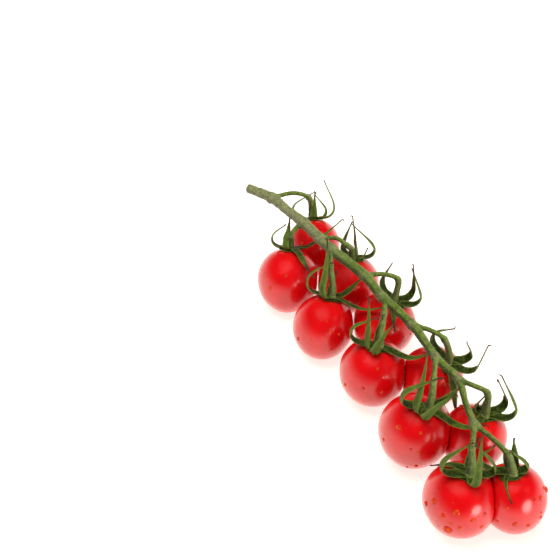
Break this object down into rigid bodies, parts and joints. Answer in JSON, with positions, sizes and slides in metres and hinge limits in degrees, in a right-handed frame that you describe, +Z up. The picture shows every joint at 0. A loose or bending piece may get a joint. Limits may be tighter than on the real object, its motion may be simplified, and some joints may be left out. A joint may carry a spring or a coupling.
{
  "type": "truss of tomatoes",
  "caption": "Truss of small ripe plum tomatoes lying in two rows along a green stem, each fruit under its own calyx of long curled sepals, for a kitchen, market or food scene.",
  "frame": {"origin": "under the middle of the truss, on the surface that it lies on", "axes": "+X along the stem from its cut end to the tip, +Z up from the surface"},
  "size_m": [0.2268, 0.062, 0.0658],
  "materials": {
    "tomato_skin": "smooth, waxy and glossy skin of a ripe red tomato, a little deeper in colour towards the stem end",
    "stem_green": "matt, finely haired green stem, browner at its thick end and where it forks",
    "sepal_green": "matt, finely haired leaf, dark olive inside, paler along its edges, dry and brown at the tip"
  },
  "bodies": {
    "root": {"stem": "stem_green", "tomato_01": "tomato_skin", "tomato_02": "tomato_skin", "tomato_03": "tomato_skin", "tomato_04": "tomato_skin", "tomato_05": "tomato_skin", "tomato_06": "tomato_skin", "tomato_07": "tomato_skin", "tomato_08": "tomato_skin", "tomato_09": "tomato_skin", "tomato_10": "tomato_skin", "tomato_11": "tomato_skin", "calyx_01": "sepal_green", "calyx_02": "sepal_green", "calyx_03": "sepal_green", "calyx_04": "sepal_green", "calyx_05": "sepal_green", "calyx_06": "sepal_green", "calyx_07": "sepal_green", "calyx_08": "sepal_green", "calyx_09": "sepal_green", "calyx_10": "sepal_green", "calyx_11": "sepal_green"}
  },
  "joints": []
}
